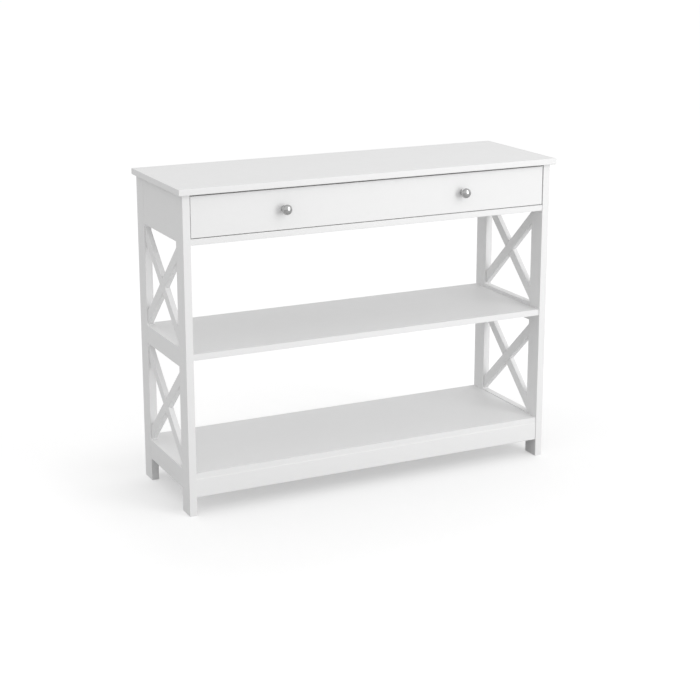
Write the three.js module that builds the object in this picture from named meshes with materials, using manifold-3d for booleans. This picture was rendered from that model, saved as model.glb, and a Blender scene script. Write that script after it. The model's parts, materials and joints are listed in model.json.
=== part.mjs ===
// Console table: two X-braced side frames joined by a top, two shelves, a front rail,
// aprons and a back panel, with one wide drawer on steel slides under the top.
//
// Millimetres, +Z up, +X to the right and -Y towards a person who faces the drawer. The
// origin is on the floor, under the centre of the table's bounding box, knobs included.

import * as THREE from 'three';
import { mergeVertices } from 'three/addons/utils/BufferGeometryUtils.js';
import Module from 'manifold-3d';

const wasm = await Module();
wasm.setup();

// ---------------------------------------------------------------- driving dimensions

const WIDTH = 1000; // the top's length, left to right
const DEPTH = 330; // the top's depth, front to back
const HEIGHT = 785; // floor to the top's upper face

const CLEARANCE = 0.3; // between a piece and the pocket, bore or notch that takes it

const TOP = { thickness: 15, sideOverhang: 12, frontOverhang: 12 };
const POST = { width: 18, depth: 48 }; // the side panels and rails are as thick as it is wide

const SIDE_PANEL = { height: 115 }; // closes each side of the drawer bay
const MIDDLE_RAIL = { height: 46, riseAboveShelf: 8 };
const BOTTOM_RAIL = { height: 50, riseAboveShelf: 2 };

const BRACE = { width: 25, thickness: 13, gapBelow: 2, gapAbove: 8 };

const SHELF = { thickness: 15 };
const MIDDLE_SHELF = { topZ: 395, recess: 2.5 }; // recess: behind the posts' front faces
const BOTTOM_SHELF = { topZ: 105, recess: 3 };
const APRON = { height: 45, thickness: 15, recess: 2 };

const FRONT_RAIL = { height: 15, depth: 45, recess: 1.5 };
const BACK_PANEL = { thickness: 15 };

const DRAWER_FRONT = { height: 96, thickness: 15, topGap: 5, reveal: 2, recess: 1.5 };
const DRAWER_BOX = { rearGap: 36.5, height: 72, board: 12, rise: 8 }; // rise: above the front's edge
const DRAWER_BOTTOM = { thickness: 4, groove: 6, aboveEdge: 8 };

const KNOB = { spacing: 476, length: 27, head: 12.3, crown: 8.5, neck: 5, waist: 8.5, screwDepth: 12 };
const KNOB_FLANGE = { radius: 8, edge: 1.4, chamfer: 1, height: 2.2 };
const KNOB_SCREW = { shank: 2, head: 4, headHeight: 2.4, crown: 3, rim: 1.6 };

const SLIDE = { thickness: 12.5, sheet: 1.2, inset: 2.5 }; // thickness: drawer side to post
const SLIDE_CHANNEL = { height: 35, lip: 5, sideGap: 3 }; // sideGap: lip to drawer side
const SLIDE_RUNNER = { height: 21, hook: 4.8, play: 1.5 }; // play: hook to the channel's web

const CAM_NUT = { radius: 7.5, fromEnd: 34, cover: 2.5 }; // cover: board left over its bore
const CAM_THREAD = { radius: 2.7, length: 11, tipRadius: 1.9, tipLength: 1.5 };
const CAM_COLLAR = { radius: 3.8, length: 1.5 };
const CAM_HEAD = { radius: 3.3, length: 3, chamfer: 0.6 };
const CAM_SHAFT = 2;
const DRIVER_SLOT = { length: 8, width: 1.8, depth: 2 };

const BRACKET = { leg: 20, width: 16, sheet: 1.8, hole: 2.2, holeAlong: 12, fromPost: 40 };

const ROUND = 16; // facets on small round pieces
const KNOB_ROUND = 32;
const BEYOND = 1; // how far a cutting tool runs past the face that it opens

// ---------------------------------------------------------------- places worked out from them

const topUnderside = HEIGHT - TOP.thickness;
const knobReach = KNOB.length - TOP.frontOverhang - DRAWER_FRONT.recess; // past the top's edge
const topFront = -(DEPTH + knobReach) / 2 + knobReach;
const topRear = topFront + DEPTH;
const frameHalf = WIDTH / 2 - TOP.sideOverhang; // outer face of the posts
const frameFront = topFront + TOP.frontOverhang;
const frameRear = topRear;
const bayHalf = frameHalf - POST.width; // inner face of the posts
const frontPostBack = frameFront + POST.depth;
const rearPostFront = frameRear - POST.depth;

const sidePanelBottom = topUnderside - SIDE_PANEL.height;
const middleRailTop = MIDDLE_SHELF.topZ + MIDDLE_RAIL.riseAboveShelf;
const middleRailBottom = middleRailTop - MIDDLE_RAIL.height;
const bottomRailTop = BOTTOM_SHELF.topZ + BOTTOM_RAIL.riseAboveShelf;

const drawerTop = topUnderside - DRAWER_FRONT.topGap;
const drawerFrontBottom = drawerTop - DRAWER_FRONT.height;
const frontRailTop = drawerFrontBottom - DRAWER_FRONT.reveal;
const drawerFace = frameFront + DRAWER_FRONT.recess;
const drawerFrontBack = drawerFace + DRAWER_FRONT.thickness;
const drawerHalf = bayHalf - SLIDE.thickness; // outer face of the drawer's sides
const boxBottom = drawerFrontBottom + DRAWER_BOX.rise;
const boxTop = boxBottom + DRAWER_BOX.height;
const boxRear = frameRear - BACK_PANEL.thickness - DRAWER_BOX.rearGap;
const bottomPanelZ = boxBottom + DRAWER_BOTTOM.aboveEdge;
const slideMiddle = boxBottom + DRAWER_BOX.height / 2;
const knobZ = (topUnderside + frontRailTop) / 2; // the middle of the drawer's opening
const knobXs = { left: -KNOB.spacing / 2, right: KNOB.spacing / 2 };

// The shelves' cam locks sit in line with the middles of the posts.
const camYs = { front: frameFront + POST.depth / 2, rear: frameRear - POST.depth / 2 };
const camX = bayHalf - CAM_NUT.fromEnd;
const camHeight = SHELF.thickness - CAM_NUT.cover - CLEARANCE;

// ---------------------------------------------------------------- materials

const material = (color, roughness, metalness = 0) =>
  new THREE.MeshStandardMaterial({ color, roughness, metalness });

const WHITE = material(0xf2f2f0, 0.42);
const DRAWER_WHITE = material(0xe9e9e6, 0.55);
const NICKEL = material(0xb9b7b2, 0.28, 1);
const ZINC = material(0xaab0b4, 0.4, 1);

// ---------------------------------------------------------------- helpers

const table = new THREE.Group();

function add(name, geometry, finish) {
  const mesh = new THREE.Mesh(geometry, finish);
  mesh.name = name;
  table.add(mesh);
  return mesh;
}

// A board between two x, two y and two z planes.
function boardGeometry([x0, x1], [y0, y1], [z0, z1]) {
  const geometry = new THREE.BoxGeometry(x1 - x0, y1 - y0, z1 - z0);
  return geometry.translate((x0 + x1) / 2, (y0 + y1) / 2, (z0 + z1) / 2);
}

function addBoard(name, xs, ys, zs, finish = WHITE) {
  return add(name, boardGeometry(xs, ys, zs), finish);
}

// An outline in (u, v) pushed along one axis: 'x' takes (y, z) and 'y' takes (x, z).
function extrudeAlong(axis, outline, from, to) {
  const shape = new THREE.Shape(outline.map(([u, v]) => new THREE.Vector2(u, v)));
  const geometry = new THREE.ExtrudeGeometry(shape, { depth: to - from, bevelEnabled: false });
  geometry.translate(0, 0, from);
  const basis = new THREE.Matrix4();
  if (axis === 'x') {
    basis.set(0, 0, 1, 0, 1, 0, 0, 0, 0, 1, 0, 0, 0, 0, 0, 1); // (u, v, w) to (w, u, v)
  } else {
    basis.set(1, 0, 0, 0, 0, 0, -1, 0, 0, 1, 0, 0, 0, 0, 0, 1); // (u, v, w) to (u, -w, v)
  }
  return geometry.applyMatrix4(basis);
}

function toSolid(geometry) {
  const bare = geometry.clone();
  bare.deleteAttribute('normal');
  bare.deleteAttribute('uv');
  const merged = mergeVertices(bare, 1e-4);
  const mesh = new wasm.Mesh({
    numProp: 3,
    vertProperties: new Float32Array(merged.attributes.position.array),
    triVerts: new Uint32Array(merged.index.array),
  });
  return new wasm.Manifold(mesh);
}

function fromSolid(solid) {
  const { vertProperties, triVerts } = solid.getMesh();
  const geometry = new THREE.BufferGeometry();
  geometry.setAttribute('position', new THREE.BufferAttribute(vertProperties, 3));
  geometry.setIndex(new THREE.BufferAttribute(triVerts, 1));
  geometry.computeVertexNormals();
  return geometry;
}

function cut(geometry, ...tools) {
  return fromSolid(tools.reduce((solid, tool) => solid.subtract(toSolid(tool)), toSolid(geometry)));
}

// A round bar from one point to another.
function bar(from, to, radius, facets = ROUND) {
  const start = new THREE.Vector3(...from);
  const run = new THREE.Vector3(...to).sub(start);
  const geometry = new THREE.CylinderGeometry(radius, radius, run.length(), facets);
  const turn = new THREE.Quaternion().setFromUnitVectors(
    new THREE.Vector3(0, 1, 0), run.clone().normalize());
  geometry.applyQuaternion(turn);
  return geometry.translate(...start.addScaledVector(run, 0.5).toArray());
}

const SIDES = [['left', -1], ['right', 1]];

// The two planes of a piece that runs from one distance out to a larger one, on either side.
const outward = (side, near, far) => (side > 0 ? [near, far] : [-far, -near]);

// ---------------------------------------------------------------- side frames

function addPosts(label, side) {
  const xs = outward(side, bayHalf, frameHalf);
  const postRows = [
    ['front', [frameFront, frontPostBack]],
    ['rear', [rearPostFront, frameRear]],
  ];
  for (const [row, ys] of postRows) {
    const boltHoles = [MIDDLE_SHELF, BOTTOM_SHELF].map((shelf) => {
      const y = camYs[row];
      const z = shelf.topZ - SHELF.thickness / 2;
      const end = bayHalf + CAM_THREAD.length + CLEARANCE;
      return bar([side * (bayHalf - BEYOND), y, z], [side * end, y, z],
        CAM_THREAD.radius + CLEARANCE);
    });
    const post = boardGeometry(xs, ys, [0, topUnderside]);
    add(`post_${row}_${label}`, cut(post, ...boltHoles), WHITE);
  }
}

function addSideRails(label, side) {
  const xs = outward(side, bayHalf, frameHalf);
  const ys = [frontPostBack, rearPostFront];
  addBoard(`side_panel_${label}`, xs, ys, [sidePanelBottom, topUnderside]);
  addBoard(`middle_rail_${label}`, xs, ys, [middleRailBottom, middleRailTop]);
  addBoard(`bottom_rail_${label}`, xs, ys, [bottomRailTop - BOTTOM_RAIL.height, bottomRailTop]);
}

// Slope of a bar of a given width whose square-cut ends fill a span's full height.
function braceSlope(span, height, width) {
  const root = Math.sqrt(height * height + span * span - width * width);
  return (height * span - width * root) / (span * span - width * width);
}

// Outline in (y, z) of one brace, with upright ends on the two posts. The brace climbs to the
// front post or to the rear one, between the heights low and high. Spare widens it all round.
function braceOutline(climbsToFront, low, high, spare = 0) {
  const span = rearPostFront - frontPostBack;
  const bottom = low + BRACE.gapBelow;
  const top = high - BRACE.gapAbove;
  const slope = braceSlope(span, top - bottom, BRACE.width);
  const rise = slope * span;
  const extra = spare * Math.hypot(1, slope);
  const reach = spare > 0 ? BRACE.width : 0; // a widened outline also runs past the ends
  const drop = slope * reach;
  const corners = [
    [-reach, bottom - drop - extra],
    [span + reach, bottom + rise + drop - extra],
    [span + reach, top + drop + extra],
    [-reach, top - rise - drop + extra],
  ];
  const outline = corners.map(([along, z]) =>
    [climbsToFront ? rearPostFront - along : frontPostBack + along, z]);
  return climbsToFront ? outline.reverse() : outline;
}

// Two braces cross in a half-lap: one keeps its inner half there, the other its outer half.
function addCross(label, side, level, low, high) {
  const middle = frameHalf - POST.width / 2;
  const inner = middle - BRACE.thickness / 2;
  const outer = middle + BRACE.thickness / 2;
  const lap = CLEARANCE / 2;
  const braces = [
    ['front', true, [middle - lap, outer + BEYOND]],
    ['rear', false, [inner - BEYOND, middle + lap]],
  ];
  for (const [end, climbsToFront, notchDepth] of braces) {
    const body = extrudeAlong('x', braceOutline(climbsToFront, low, high),
      ...outward(side, inner, outer));
    const notch = extrudeAlong('x', braceOutline(!climbsToFront, low, high, CLEARANCE),
      ...outward(side, ...notchDepth));
    add(`brace_${level}_${label}_to_${end}`, cut(body, notch), WHITE);
  }
}

// ---------------------------------------------------------------- shelves and their cam locks

// The cam nut's bore in the shelf's underside and the bolt's bore in its end.
function camBores(side, y, underside, z) {
  const x = side * camX;
  const roof = underside + camHeight + CLEARANCE;
  return [
    bar([x, y, underside - BEYOND], [x, y, roof], CAM_NUT.radius + CLEARANCE),
    bar([x, y, z], [side * (bayHalf + BEYOND), y, z], CAM_COLLAR.radius + CLEARANCE),
  ];
}

// A disc with a channel for the bolt's head and a screwdriver slot underneath.
function camNut(side, y, underside, z) {
  const x = side * camX;
  const disc = bar([x, y, underside], [x, y, underside + camHeight], CAM_NUT.radius);
  const inner = x - side * (CAM_HEAD.length / 2 + CLEARANCE);
  const outer = x + side * (CAM_NUT.radius + BEYOND);
  const channel = bar([inner, y, z], [outer, y, z], CAM_HEAD.radius + CLEARANCE);
  const { length, width, depth } = DRIVER_SLOT;
  const slots = [[length, width], [width, length]].map(([dx, dy]) =>
    boardGeometry([x - dx / 2, x + dx / 2], [y - dy / 2, y + dy / 2],
      [underside - BEYOND, underside + depth]));
  return cut(disc, channel, ...slots);
}

// Screwed into the post, through the shelf's end, with its head in the cam nut.
function camBolt(side, y, z) {
  const tip = bayHalf + CAM_THREAD.length;
  const length = tip - camX + CAM_HEAD.length / 2;
  const collarStart = CAM_THREAD.length;
  const collarEnd = collarStart + CAM_COLLAR.length;
  const headStart = length - CAM_HEAD.length;
  const profile = [
    [0, 0], [CAM_THREAD.tipRadius, 0], [CAM_THREAD.radius, CAM_THREAD.tipLength],
    [CAM_THREAD.radius, collarStart], [CAM_COLLAR.radius, collarStart],
    [CAM_COLLAR.radius, collarEnd], [CAM_SHAFT, collarEnd], [CAM_SHAFT, headStart],
    [CAM_HEAD.radius, headStart + CAM_HEAD.chamfer], [CAM_HEAD.radius, length - CAM_HEAD.chamfer],
    [CAM_SHAFT, length], [0, length],
  ].map(([r, h]) => new THREE.Vector2(r, h));
  const geometry = new THREE.LatheGeometry(profile, ROUND);
  geometry.rotateZ(side * Math.PI / 2);
  return geometry.translate(side * tip, y, z);
}

function addShelf(name, shelf) {
  const underside = shelf.topZ - SHELF.thickness;
  const z = shelf.topZ - SHELF.thickness / 2;
  const bores = [];
  for (const [label, side] of SIDES) {
    for (const [row, y] of Object.entries(camYs)) {
      bores.push(...camBores(side, y, underside, z));
      add(`cam_nut_${name}_${row}_${label}`, camNut(side, y, underside, z), ZINC);
      add(`cam_bolt_${name}_${row}_${label}`, camBolt(side, y, z), ZINC);
    }
  }
  const board = boardGeometry([-bayHalf, bayHalf], [frameFront + shelf.recess, frameRear],
    [underside, shelf.topZ]);
  add(`${name}_shelf`, cut(board, ...bores), WHITE);
}

// ---------------------------------------------------------------- drawer

// One side of the box, as an outline in (x, z) with the bottom panel's groove, pushed along y.
function drawerSide(side) {
  const inner = drawerHalf - DRAWER_BOX.board;
  const grooveX = inner + DRAWER_BOTTOM.groove + CLEARANCE;
  const grooveLow = bottomPanelZ - CLEARANCE;
  const grooveHigh = bottomPanelZ + DRAWER_BOTTOM.thickness + CLEARANCE;
  const outline = [
    [inner, boxBottom], [drawerHalf, boxBottom], [drawerHalf, boxTop], [inner, boxTop],
    [inner, grooveHigh], [grooveX, grooveHigh], [grooveX, grooveLow], [inner, grooveLow],
  ].map(([x, z]) => [side * x, z]);
  if (side < 0) outline.reverse();
  return extrudeAlong('y', outline, -boxRear, -drawerFrontBack);
}

function knobScrewHole(x, from, to) {
  return bar([x, from, knobZ], [x, to, knobZ], KNOB_SCREW.shank + CLEARANCE);
}

function drawerFront() {
  const half = bayHalf - DRAWER_FRONT.reveal;
  const board = boardGeometry([-half, half], [drawerFace, drawerFrontBack],
    [drawerFrontBottom, drawerTop]);
  const grooveHalf = drawerHalf - DRAWER_BOX.board + DRAWER_BOTTOM.groove + CLEARANCE;
  const groove = boardGeometry([-grooveHalf, grooveHalf],
    [drawerFrontBack - DRAWER_BOTTOM.groove - CLEARANCE, drawerFrontBack + BEYOND],
    [bottomPanelZ - CLEARANCE, bottomPanelZ + DRAWER_BOTTOM.thickness + CLEARANCE]);
  const holes = Object.values(knobXs).map((x) =>
    knobScrewHole(x, drawerFace - BEYOND, drawerFrontBack + BEYOND));
  return cut(board, groove, ...holes);
}

// A quarter turn of an ellipse from one point to another, which leaves or arrives upright.
function quarter([r0, h0], [r1, h1], steps, leavesUpright) {
  return Array.from({ length: steps }, (_, i) => {
    const a = (Math.PI / 2) * ((i + 1) / steps);
    const [across, up] = leavesUpright ? [1 - Math.cos(a), Math.sin(a)] : [Math.sin(a), 1 - Math.cos(a)];
    return [r0 + (r1 - r0) * across, h0 + (h1 - h0) * up];
  });
}

// Half section of the knob: flange, waist and a round head, with a blind hole for its screw.
function knob(x) {
  const hole = KNOB_SCREW.shank + CLEARANCE;
  const holeEnd = KNOB.screwDepth + CLEARANCE;
  const flangeTop = [KNOB_FLANGE.radius - KNOB_FLANGE.chamfer, KNOB_FLANGE.height];
  const waist = [KNOB.neck, KNOB.waist];
  const rim = [KNOB.head, KNOB.length - KNOB.crown]; // where the head is widest
  const points = [
    [0, holeEnd], [hole, holeEnd], [hole, 0], [KNOB_FLANGE.radius, 0],
    [KNOB_FLANGE.radius, KNOB_FLANGE.edge], flangeTop,
    ...quarter(flangeTop, waist, 6, false),
    ...quarter(waist, rim, 6, false),
    ...quarter(rim, [0, KNOB.length], 10, true),
  ];
  const profile = points.map(([r, h]) => new THREE.Vector2(r, h));
  const geometry = new THREE.LatheGeometry(profile, KNOB_ROUND);
  geometry.rotateX(Math.PI); // the knob's axis points to -Y
  return geometry.translate(x, drawerFace, knobZ);
}

// A pan-head screw from inside the drawer, through its front and into the knob.
function knobScrew(x) {
  const { shank, head, headHeight, crown, rim } = KNOB_SCREW;
  const length = DRAWER_FRONT.thickness + KNOB.screwDepth;
  const profile = [
    [0, -length], [shank, -length], [shank, 0], [head, 0], [head, rim], [crown, headHeight],
    [0, headHeight],
  ].map(([r, h]) => new THREE.Vector2(r, h));
  const geometry = new THREE.LatheGeometry(profile, ROUND);
  return geometry.translate(x, drawerFrontBack, knobZ);
}

function addDrawer() {
  const inner = drawerHalf - DRAWER_BOX.board;
  const panelTop = bottomPanelZ + DRAWER_BOTTOM.thickness;
  const panelHalf = inner + DRAWER_BOTTOM.groove;
  add('drawer_front', drawerFront(), WHITE);
  for (const [label, side] of SIDES) {
    add(`drawer_side_${label}`, drawerSide(side), DRAWER_WHITE);
    add(`knob_${label}`, knob(knobXs[label]), NICKEL);
    add(`knob_screw_${label}`, knobScrew(knobXs[label]), ZINC);
  }
  addBoard('drawer_back', [-inner, inner], [boxRear - DRAWER_BOX.board, boxRear],
    [panelTop + CLEARANCE, boxTop], DRAWER_WHITE);
  addBoard('drawer_bottom', [-panelHalf, panelHalf],
    [drawerFrontBack - DRAWER_BOTTOM.groove, boxRear], [bottomPanelZ, panelTop], DRAWER_WHITE);
}

// ---------------------------------------------------------------- drawer slides

// Each member is one bent sheet, given by the upper half of its (x, z) outline about the
// slide's middle height. x counts inwards from the member's own web.
function slideMember(side, webX, inwards, upperHalf) {
  const lowerHalf = upperHalf.map(([x, z]) => [x, -z]).reverse();
  const outline = [...upperHalf, ...lowerHalf].map(([x, z]) =>
    [side * (webX + inwards * x), slideMiddle + z]);
  if (THREE.ShapeUtils.isClockWise(outline.map(([x, z]) => new THREE.Vector2(x, z)))) {
    outline.reverse();
  }
  return extrudeAlong('y', outline, -boxRear, -(drawerFrontBack + SLIDE.inset));
}

function addSlides() {
  const t = SLIDE.sheet;
  const half = SLIDE_CHANNEL.height / 2;
  const lipEnd = half - SLIDE_CHANNEL.lip;
  const lipReach = SLIDE.thickness - SLIDE_CHANNEL.sideGap;
  const channel = [ // screwed to the posts, open towards the drawer, with lips
    [0, half], [lipReach, half], [lipReach, lipEnd],
    [lipReach - t, lipEnd], [lipReach - t, half - t], [t, half - t],
  ];
  const runnerHalf = SLIDE_RUNNER.height / 2;
  const hookEnd = runnerHalf + SLIDE_RUNNER.hook;
  const reach = SLIDE.thickness - SLIDE.sheet - SLIDE_RUNNER.play;
  const hat = [ // screwed to the drawer side, hooked behind the channel's lips
    [0, runnerHalf], [reach - t, runnerHalf], [reach - t, hookEnd],
    [reach, hookEnd], [reach, runnerHalf - t], [t, runnerHalf - t],
  ];
  for (const [label, side] of SIDES) {
    add(`slide_channel_${label}`, slideMember(side, bayHalf, -1, channel), ZINC);
    add(`slide_runner_${label}`, slideMember(side, drawerHalf, 1, hat), ZINC);
  }
}

// ---------------------------------------------------------------- the top's angle brackets

function addTopBrackets() {
  const { leg, sheet, width, hole, holeAlong, fromPost } = BRACKET;
  const lowest = topUnderside - leg;
  const rows = {
    front: [frontPostBack + fromPost, frontPostBack + fromPost + width],
    rear: [rearPostFront - fromPost - width, rearPostFront - fromPost],
  };
  for (const [label, side] of SIDES) {
    for (const [row, [start, end]] of Object.entries(rows)) {
      const outline = [
        [bayHalf, lowest], [bayHalf, topUnderside], [bayHalf - leg, topUnderside],
        [bayHalf - leg, topUnderside - sheet], [bayHalf - sheet, topUnderside - sheet],
        [bayHalf - sheet, lowest],
      ].map(([x, z]) => [side * x, z]);
      if (side < 0) outline.reverse();
      const angle = extrudeAlong('y', outline, -end, -start);
      const y = (start + end) / 2;
      const upX = side * (bayHalf - holeAlong);
      const upHole = bar([upX, y, lowest], [upX, y, topUnderside + BEYOND], hole);
      const sideZ = topUnderside - holeAlong;
      const sideHole = bar([side * (bayHalf - leg), y, sideZ], [side * (bayHalf + BEYOND), y, sideZ], hole);
      add(`top_bracket_${row}_${label}`, cut(angle, upHole, sideHole), ZINC);
    }
  }
}

// ---------------------------------------------------------------- assembly

addBoard('top_panel', [-WIDTH / 2, WIDTH / 2], [topFront, topRear], [topUnderside, HEIGHT]);

for (const [label, side] of SIDES) {
  addPosts(label, side);
  addSideRails(label, side);
  addCross(label, side, 'upper', middleRailTop, sidePanelBottom);
  addCross(label, side, 'lower', bottomRailTop, middleRailBottom);
}

addShelf('middle', MIDDLE_SHELF);
addShelf('bottom', BOTTOM_SHELF);

const bay = [-bayHalf, bayHalf];
const apronTop = BOTTOM_SHELF.topZ - SHELF.thickness;
const apronFace = frameFront + APRON.recess;
addBoard('apron_front', bay, [apronFace, apronFace + APRON.thickness],
  [apronTop - APRON.height, apronTop]);
addBoard('apron_rear', bay, [frameRear - APRON.thickness, frameRear],
  [apronTop - APRON.height, apronTop]);

const railFace = frameFront + FRONT_RAIL.recess;
addBoard('front_rail', bay, [railFace, railFace + FRONT_RAIL.depth],
  [frontRailTop - FRONT_RAIL.height, frontRailTop]);
addBoard('back_panel', bay, [frameRear - BACK_PANEL.thickness, frameRear],
  [sidePanelBottom, topUnderside]);

addDrawer();
addSlides();
addTopBrackets();

export default table;
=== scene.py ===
"""White console table: the looks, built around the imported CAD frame.

Metres, +Z up, +X to the right and -Y towards a person who faces the drawer. The boards, rails,
braces and fittings are the CAD's own; they get rounded arrises and a material. The knobs and
their screws are rebuilt here with their fine shape, and the brackets get screws.
"""

import json
import math

import bmesh
import bpy
from mathutils import Matrix, Vector


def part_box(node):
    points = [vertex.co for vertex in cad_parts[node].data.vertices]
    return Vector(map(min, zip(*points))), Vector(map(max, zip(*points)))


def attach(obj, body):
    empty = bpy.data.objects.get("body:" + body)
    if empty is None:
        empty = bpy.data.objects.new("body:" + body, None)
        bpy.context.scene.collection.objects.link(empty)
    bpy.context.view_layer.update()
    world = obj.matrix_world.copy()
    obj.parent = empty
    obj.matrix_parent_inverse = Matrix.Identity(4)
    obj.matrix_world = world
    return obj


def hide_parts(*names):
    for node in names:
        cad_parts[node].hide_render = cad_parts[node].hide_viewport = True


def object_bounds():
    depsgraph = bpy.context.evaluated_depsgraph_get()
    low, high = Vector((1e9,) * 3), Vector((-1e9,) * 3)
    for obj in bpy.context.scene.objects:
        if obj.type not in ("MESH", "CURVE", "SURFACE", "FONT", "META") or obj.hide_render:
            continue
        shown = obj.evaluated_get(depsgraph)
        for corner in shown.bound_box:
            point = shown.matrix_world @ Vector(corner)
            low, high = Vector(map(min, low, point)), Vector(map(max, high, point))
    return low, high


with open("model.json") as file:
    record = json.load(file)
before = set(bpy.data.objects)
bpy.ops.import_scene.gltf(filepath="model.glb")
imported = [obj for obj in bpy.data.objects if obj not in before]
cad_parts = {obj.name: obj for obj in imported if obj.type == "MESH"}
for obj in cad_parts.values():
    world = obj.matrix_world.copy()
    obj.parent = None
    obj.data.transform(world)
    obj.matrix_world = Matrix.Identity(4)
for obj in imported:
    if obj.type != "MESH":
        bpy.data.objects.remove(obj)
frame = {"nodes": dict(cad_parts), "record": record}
CAD_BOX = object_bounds()

MM = 0.001


# ---------------------------------------------------------------- camera

SENSOR = 36.0
CAMERA_PLACE = (-1690.3 * MM, -3456.3 * MM, 1423.9 * MM)
CAMERA_TURN = math.radians(26.098)  # from +Y towards +X
CAMERA_DOWN = math.radians(14.131)
CAMERA_LENS = 81.65
CAMERA_SHIFT = -0.08


def add_camera():
    data = bpy.data.cameras.new("camera")
    data.sensor_width = SENSOR
    data.lens = CAMERA_LENS
    data.shift_y = CAMERA_SHIFT
    data.clip_end = 200.0
    camera = bpy.data.objects.new("camera", data)
    camera.location = CAMERA_PLACE
    camera.rotation_euler = (math.pi / 2 - CAMERA_DOWN, 0.0, -CAMERA_TURN)
    bpy.context.scene.collection.objects.link(camera)
    bpy.context.scene.camera = camera


# ---------------------------------------------------------------- light and floor

WORLD_LIGHT = 0.87  # what the white room gives the object
WORLD_SEEN = 1.0  # what the camera sees of it
FLOOR_SIZE = 120.0
FLOOR_WHITE = 0.6
FLOOR_PLACE = (0.11, -0.14, 0.0)
FLOOR_ROUGHNESS = 0.9
FLOOR_GLOW_AND_PAINTED_SHADOW = (0.41, 0.49)  # glow the camera sees on the floor, beside the table and further off; the lower glow beside the table is a painted shadow
PAINTED_SHADOW_RAMP = (0.15, 0.5)  # how far out the painted shadow ends and the full glow begins
AIM = (0.0, 0.0, 0.4)
SOFTBOXES = {  # place, size and power
    "key": ((1.7, -3.5, 1.05), 1.8, 37),
    "front_above": ((1.5, -2.7, 2.7), 1.5, 19),
}


def add_softbox(name, place, size, power):
    data = bpy.data.lights.new(name, "AREA")
    data.shape = "SQUARE"
    data.size = size
    data.energy = power
    light = bpy.data.objects.new(name, data)
    light.location = place
    light.rotation_euler = (Vector(AIM) - Vector(place)).to_track_quat("-Z", "Y").to_euler()
    bpy.context.scene.collection.objects.link(light)


def for_the_camera(nodes, links, otherwise, seen):
    """A strength that is one value for the light and another for the camera."""
    strength = nodes.new("ShaderNodeMapRange")
    strength.inputs["To Min"].default_value = otherwise
    strength.inputs["To Max"].default_value = seen
    links.new(nodes.new("ShaderNodeLightPath").outputs["Is Camera Ray"], strength.inputs["Value"])
    return strength


def distance_from_table(nodes, links):
    """How far a point of the floor is outside a rectangle as large as the table."""
    half = [(high - low) / 2 for low, high in zip(*CAD_BOX)]
    value = nodes.new("ShaderNodeTexCoord").outputs["Object"]
    for operation, other in (("ABSOLUTE", None), ("SUBTRACT", (half[0], half[1], 0)),
                             ("MAXIMUM", (0, 0, 0)), ("LENGTH", None)):
        step = nodes.new("ShaderNodeVectorMath")
        step.operation = operation
        links.new(value, step.inputs[0])
        if other:
            step.inputs[1].default_value = other
        value = step.outputs["Value" if operation == "LENGTH" else "Vector"]
    return value


def add_world():
    world = bpy.data.worlds.new("studio")
    world.use_nodes = True
    nodes, links = world.node_tree.nodes, world.node_tree.links
    background = nodes["Background"]
    background.inputs["Color"].default_value = (1, 1, 1, 1)
    strength = for_the_camera(nodes, links, WORLD_LIGHT, WORLD_SEEN)
    links.new(strength.outputs["Result"], background.inputs["Strength"])
    bpy.context.scene.world = world


def add_floor():
    bpy.ops.mesh.primitive_plane_add(size=FLOOR_SIZE, location=FLOOR_PLACE)
    floor = bpy.context.object
    floor.name = "floor"
    material = bpy.data.materials.new("floor_white")
    material.use_nodes = True
    nodes, links = material.node_tree.nodes, material.node_tree.links
    shader = nodes["Principled BSDF"]
    shader.inputs["Base Color"].default_value = (FLOOR_WHITE, FLOOR_WHITE, FLOOR_WHITE, 1)
    shader.inputs["Roughness"].default_value = FLOOR_ROUGHNESS
    shader.inputs["Specular IOR Level"].default_value = 0.0
    shader.inputs["Emission Color"].default_value = (1, 1, 1, 1)
    # The floor glows for the camera alone, and glows less beside the table than further off: a
    # painted shadow around the table.
    painted_shadow_glow = nodes.new("ShaderNodeMapRange")
    painted_shadow_glow.interpolation_type = "SMOOTHSTEP"
    painted_shadow_glow.inputs["From Min"].default_value, painted_shadow_glow.inputs["From Max"].default_value = PAINTED_SHADOW_RAMP
    painted_shadow_glow.inputs["To Min"].default_value, painted_shadow_glow.inputs["To Max"].default_value = FLOOR_GLOW_AND_PAINTED_SHADOW
    links.new(distance_from_table(nodes, links), painted_shadow_glow.inputs["Value"])
    strength = for_the_camera(nodes, links, 0.0, FLOOR_GLOW_AND_PAINTED_SHADOW[1])
    links.new(painted_shadow_glow.outputs["Result"], strength.inputs["To Max"])
    links.new(strength.outputs["Result"], shader.inputs["Emission Strength"])
    floor.data.materials.append(material)


def add_stage():
    add_world()
    add_floor()
    for name, (place, size, power) in SOFTBOXES.items():
        add_softbox(name, place, size, power)
    settings = bpy.context.scene.view_settings
    settings.view_transform = "Standard"
    settings.look = "None"
    settings.exposure = 0.0
    settings.gamma = 1.0


# ---------------------------------------------------------------- materials

NOISE_RANGE = (0.3, 0.7)  # where nearly all values of a noise lie
CLOUD_SCALE = 9.0  # noise scales, per metre
SHEEN_SCALE = 40.0
PEEL_SCALE = 420.0
TARNISH_SCALE = 60.0
TARNISH = 0.93  # the darkest tone of a metal, as a share of its colour
GLOSS_SCALE = 300.0


def new_material(name):
    material = bpy.data.materials.new(name)
    material.use_nodes = True
    return material, material.node_tree, material.node_tree.nodes["Principled BSDF"]


def noise(tree, coords, scale, detail):
    node = tree.nodes.new("ShaderNodeTexNoise")
    node.inputs["Scale"].default_value = scale
    node.inputs["Detail"].default_value = detail
    tree.links.new(coords, node.inputs["Vector"])
    return node.outputs["Fac"]


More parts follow.
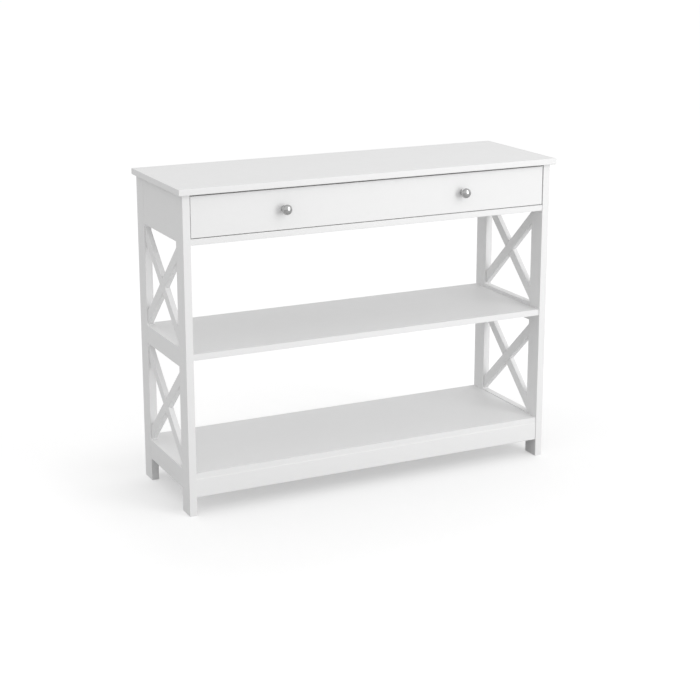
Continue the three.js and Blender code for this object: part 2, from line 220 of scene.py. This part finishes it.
def vary_roughness(tree, shader, value, middle, spread):
    """Lets a noise value move the roughness about its middle."""
    node = tree.nodes.new("ShaderNodeMapRange")
    node.inputs["From Min"].default_value, node.inputs["From Max"].default_value = NOISE_RANGE
    node.inputs["To Min"].default_value = middle - spread
    node.inputs["To Max"].default_value = middle + spread
    tree.links.new(value, node.inputs["Value"])
    tree.links.new(node.outputs["Result"], shader.inputs["Roughness"])


def mix_colours(tree, value, low, high):
    node = tree.nodes.new("ShaderNodeMix")
    node.data_type = "RGBA"
    node.inputs["A"].default_value = (*low, 1)
    node.inputs["B"].default_value = (*high, 1)
    tree.links.new(value, node.inputs["Factor"])
    return node.outputs["Result"]


def bump(tree, shader, height, distance):
    node = tree.nodes.new("ShaderNodeBump")
    node.inputs["Distance"].default_value = distance
    node.inputs["Strength"].default_value = 1.0
    tree.links.new(height, node.inputs["Height"])
    tree.links.new(node.outputs["Normal"], shader.inputs["Normal"])


def object_coords(tree):
    return tree.nodes.new("ShaderNodeTexCoord").outputs["Object"]


def lacquer(name, pale, deep, roughness, peel):
    """Sprayed white lacquer on board: a faint cloudiness and a fine orange peel."""
    material, tree, shader = new_material(name)
    coords = object_coords(tree)
    cloud = noise(tree, coords, CLOUD_SCALE, 3.0)
    tree.links.new(mix_colours(tree, cloud, deep, pale), shader.inputs["Base Color"])
    vary_roughness(tree, shader, noise(tree, coords, SHEEN_SCALE, 4.0), roughness, 0.04)
    bump(tree, shader, noise(tree, coords, PEEL_SCALE, 2.0), peel)
    return material


def metal(name, colour, roughness, grain_scale, grain_depth):
    """Plated steel: a faint tarnish, an uneven gloss and a fine grain."""
    material, tree, shader = new_material(name)
    coords = object_coords(tree)
    shader.inputs["Metallic"].default_value = 1.0
    tone = noise(tree, coords, TARNISH_SCALE, 3.0)
    deep = tuple(TARNISH * c for c in colour)
    tree.links.new(mix_colours(tree, tone, deep, colour), shader.inputs["Base Color"])
    vary_roughness(tree, shader, noise(tree, coords, GLOSS_SCALE, 3.0), roughness, 0.05)
    bump(tree, shader, noise(tree, coords, grain_scale, 2.0), grain_depth)
    return material


def grey(value):
    return (value, value, value)


MATERIALS = {
    "white_lacquer": lacquer("white_lacquer", grey(0.815), grey(0.80), 0.46, 0.03 * MM),
    "drawer_box_white": lacquer("drawer_box_white", (0.775, 0.775, 0.77), (0.755, 0.755, 0.75),
                                0.55, 0.02 * MM),
    "satin_nickel": metal("satin_nickel", grey(0.52), 0.17, 1500.0, 0.004 * MM),
    "zinc_hardware": metal("zinc_hardware", (0.60, 0.63, 0.66), 0.38, 900.0, 0.01 * MM),
}


# ---------------------------------------------------------------- the CAD's own pieces

ARRIS = 1.0 * MM  # rounding of a lacquered edge
TOP_ARRIS = 1.6 * MM
BOX_ARRIS = 0.5 * MM
METAL_ARRIS = 0.25 * MM
METAL_NODES = ("cam_", "slide_", "knob_screw", "top_bracket")
BOX_NODES = ("drawer_side", "drawer_back", "drawer_bottom")
ARRIS_SEGMENTS = 3
WELD_REACH = 0.01 * MM
FLAT_ANGLE = math.radians(0.5)  # facets that meet flatter than this are joined
SHARP_ANGLE = math.radians(30)  # arrises that meet sharper than this are rounded
SMOOTH_ANGLE = math.radians(40)  # edges of a new piece that shade smooth


def arris_radius(name):
    if name == "top_panel":
        return TOP_ARRIS
    if name.startswith(METAL_NODES):
        return METAL_ARRIS
    return BOX_ARRIS if name.startswith(BOX_NODES) else ARRIS


def soften(piece, radius):
    """Joins the flat facets of a CAD mesh, then rounds its arrises."""
    weld = piece.modifiers.new("weld", "WELD")
    weld.merge_threshold = WELD_REACH
    flat = piece.modifiers.new("flat", "DECIMATE")
    flat.decimate_type = "DISSOLVE"
    flat.angle_limit = FLAT_ANGLE
    arris = piece.modifiers.new("arris", "BEVEL")
    arris.width = radius
    arris.segments = ARRIS_SEGMENTS
    arris.limit_method = "ANGLE"
    arris.angle_limit = SHARP_ANGLE
    shade = piece.modifiers.new("shade", "WEIGHTED_NORMAL")
    shade.keep_sharp = False
    piece.data.shade_smooth()


def dress_cad():
    for subpart in frame["record"]["subparts"]:
        piece = frame["nodes"][subpart["node"]]
        piece.data.materials.clear()
        piece.data.materials.append(MATERIALS[subpart["material_slot"]])
        soften(piece, arris_radius(subpart["node"]))


# ---------------------------------------------------------------- knobs and screws

def add_piece(name, mesh_maker, slot, body, replaced=None):
    """Makes a new piece from a bmesh, in metres in the table's own frame."""
    mesh = bpy.data.meshes.new(name)
    bm = mesh_maker()
    bmesh.ops.recalc_face_normals(bm, faces=bm.faces)
    bm.to_mesh(mesh)
    bm.free()
    mesh.shade_smooth()
    mesh.set_sharp_from_angle(angle=SMOOTH_ANGLE)
    mesh.materials.append(MATERIALS[slot])
    piece = bpy.data.objects.new(name, mesh)
    bpy.context.scene.collection.objects.link(piece)
    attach(piece, body)
    if replaced:
        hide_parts(replaced)
    return piece


def stand(bm, place, axis):
    """Turns +Z to the axis and moves the origin to the place."""
    turn = Vector((0, 0, 1)).rotation_difference(Vector(axis)).to_matrix().to_4x4()
    bmesh.ops.transform(bm, matrix=Matrix.Translation(place) @ turn, verts=bm.verts)


def turned(profile, steps):
    """A closed solid of revolution about Z: profile is (radius, height) from axis to axis."""
    bm = bmesh.new()
    rings = []
    for radius, height in profile:
        if radius < 1e-7:
            rings.append([bm.verts.new((0, 0, height))])
        else:
            rings.append([bm.verts.new((radius * math.cos(a), radius * math.sin(a), height))
                          for a in (2 * math.pi * i / steps for i in range(steps))])
    for low, high in zip(rings, rings[1:]):
        for i in range(steps):
            j = (i + 1) % steps
            corners = [low[i % len(low)], low[j % len(low)],
                       high[j % len(high)], high[i % len(high)]]
            bm.faces.new(list(dict.fromkeys(corners)))
    return bm


def quarter(start, end, steps, leaves_upright):
    """A quarter ellipse between two (radius, height) points, without its first point."""
    points = []
    for i in range(1, steps + 1):
        a = math.pi / 2 * i / steps
        across, up = math.sin(a), 1 - math.cos(a)
        if leaves_upright:
            across, up = 1 - math.cos(a), math.sin(a)
        points.append((start[0] + (end[0] - start[0]) * across,
                       start[1] + (end[1] - start[1]) * up))
    return points


KNOB_STEPS = 96  # facets around
KNOB_FLANGE = 8.0 * MM
KNOB_FLANGE_HEIGHT = 2.2 * MM
KNOB_EDGE = 0.8 * MM  # rounding of the flange
KNOB_NECK = (5.0 * MM, 8.0 * MM)  # radius, and height where it begins
KNOB_NECK_LENGTH = 1.0 * MM
KNOB_CROWN = 8.5 * MM


def knob_profile(length, head):
    """A small flange, a hollowed neck and a round head."""
    lip = (KNOB_FLANGE, KNOB_EDGE)
    lip_top = (KNOB_FLANGE - KNOB_EDGE, KNOB_FLANGE_HEIGHT)
    neck_end = (KNOB_NECK[0], KNOB_NECK[1] + KNOB_NECK_LENGTH)
    rim = (head, length - KNOB_CROWN)
    return ([(0, 0), (KNOB_FLANGE - KNOB_EDGE, 0)]
            + quarter((KNOB_FLANGE - KNOB_EDGE, 0), lip, 4, False)
            + quarter(lip, lip_top, 6, True)
            + quarter(lip_top, KNOB_NECK, 12, False)
            + [neck_end]
            + quarter(neck_end, rim, 18, False)
            + quarter(rim, (0, length), 24, True))


def turned_knob(length, head, base):
    bm = turned(knob_profile(length, head), KNOB_STEPS)
    stand(bm, base, (0, -1, 0))
    return bm


def add_knobs():
    for label in ("left", "right"):
        node = f"knob_{label}"
        low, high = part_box(node)
        centre = (low + high) / 2
        base = Vector((centre.x, high.y, centre.z))
        add_piece(f"turned_knob_{label}",
                  lambda: turned_knob(high.y - low.y, (high.x - low.x) / 2, base),
                  "satin_nickel", "drawer", node)


PAN_HEAD = (4.0 * MM, 2.4 * MM)  # radius and height
PAN_EDGE = 0.2 * MM  # rounding under the head
PAN_RIM = 0.3  # the upright part of the head, as a share of its height
PAN_STEPS = 48
PAN_SHANK = 1.8 * MM
RECESS = (4.4 * MM, 1.1 * MM, 1.4 * MM)  # reach, width and depth of the cross
BRACKET_SHEET = 1.8 * MM
BRACKET_HOLE = 12.0 * MM  # from the bracket's corner
BOARD_BITE = 11.0 * MM  # screw in the board behind a bracket


def link_mesh(name, bm):
    mesh = bpy.data.meshes.new(name)
    bm.to_mesh(mesh)
    bm.free()
    piece = bpy.data.objects.new(name, mesh)
    bpy.context.scene.collection.objects.link(piece)
    return piece


def pan_screw(length, place, axis):
    """A pan-head screw with a cross recess; place is where its head meets the surface."""
    head, height = PAN_HEAD
    rim = (head, PAN_RIM * height)
    profile = ([(0, -length), (0.6 * PAN_SHANK, -length), (PAN_SHANK, 1.5 * PAN_SHANK - length),
                (PAN_SHANK, 0), (head - PAN_EDGE, 0), (head, PAN_EDGE), rim]
               + quarter(rim, (0, height), 10, True))
    blank = link_mesh("blank", turned(profile, PAN_STEPS))
    reach, width, depth = RECESS
    cutters = []
    for across in ((reach, width), (width, reach)):
        bar = bmesh.new()
        bmesh.ops.create_cube(bar, size=1.0)
        bmesh.ops.scale(bar, vec=(*across, 2 * depth), verts=bar.verts)
        bmesh.ops.translate(bar, vec=(0, 0, height), verts=bar.verts)
        cutters.append(link_mesh("cutter", bar))
        blank.modifiers.new("recess", "BOOLEAN").object = cutters[-1]
    bpy.context.view_layer.update()
    cut = blank.evaluated_get(bpy.context.evaluated_depsgraph_get())
    bm = bmesh.new()
    bm.from_mesh(cut.to_mesh())
    for spent in (blank, *cutters):
        bpy.data.objects.remove(spent)
    stand(bm, place, axis)
    return bm


def add_screws():
    for label, side in (("left", -1), ("right", 1)):
        node = f"knob_screw_{label}"
        low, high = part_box(node)
        centre = (low + high) / 2
        seat = Vector((centre.x, high.y - PAN_HEAD[1], centre.z))
        add_piece(f"pan_screw_{label}", lambda: pan_screw(seat.y - low.y, seat, (0, 1, 0)),
                  "zinc_hardware", "drawer", node)
        for row in ("front", "rear"):
            low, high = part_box(f"top_bracket_{row}_{label}")
            wall = high.x if side > 0 else low.x
            middle = (low.y + high.y) / 2
            length = BRACKET_SHEET + BOARD_BITE
            up = Vector((wall - side * BRACKET_HOLE, middle, high.z - BRACKET_SHEET))
            out = Vector((wall - side * BRACKET_SHEET, middle, high.z - BRACKET_HOLE))
            add_piece(f"bracket_screw_up_{row}_{label}",
                      lambda: pan_screw(length, up, (0, 0, -1)), "zinc_hardware", "frame")
            add_piece(f"bracket_screw_out_{row}_{label}",
                      lambda: pan_screw(length, out, (-side, 0, 0)), "zinc_hardware", "frame")


add_camera()
add_stage()
dress_cad()
add_knobs()
add_screws()
